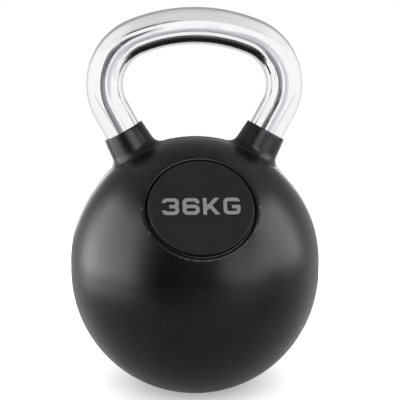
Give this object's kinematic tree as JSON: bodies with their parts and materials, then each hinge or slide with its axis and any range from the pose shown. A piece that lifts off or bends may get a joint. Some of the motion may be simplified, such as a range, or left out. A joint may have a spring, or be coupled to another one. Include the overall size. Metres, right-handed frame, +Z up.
{
  "type": "kettlebell",
  "caption": "Rubber coated kettlebell: a heavy ball with a flat foot, two rubber collars, a bent polished steel handle and a round weight badge.",
  "frame": {"origin": "centre of the flat foot, at floor level", "axes": "+Z up through the ball and the handle, X along the handle's top bar, -Y out of the side that carries the badge"},
  "size_m": [0.22, 0.22, 0.3327],
  "materials": {
    "core_ball": "rough cast",
    "handle_bar": "polished",
    "weld_bead_left": "as welded",
    "weld_bead_right": "as welded",
    "rubber_coat": "satin",
    "badge_disc": "matte",
    "badge_pad": "adhesive foam",
    "weight_figures": "satin"
  },
  "bodies": {
    "root": {"core_ball": "core_ball", "handle_bar": "handle_bar", "weld_bead_left": "weld_bead_left", "weld_bead_right": "weld_bead_right", "rubber_coat": "rubber_coat", "badge_disc": "badge_disc", "badge_pad": "badge_pad", "weight_figures": "weight_figures"}
  },
  "joints": []
}
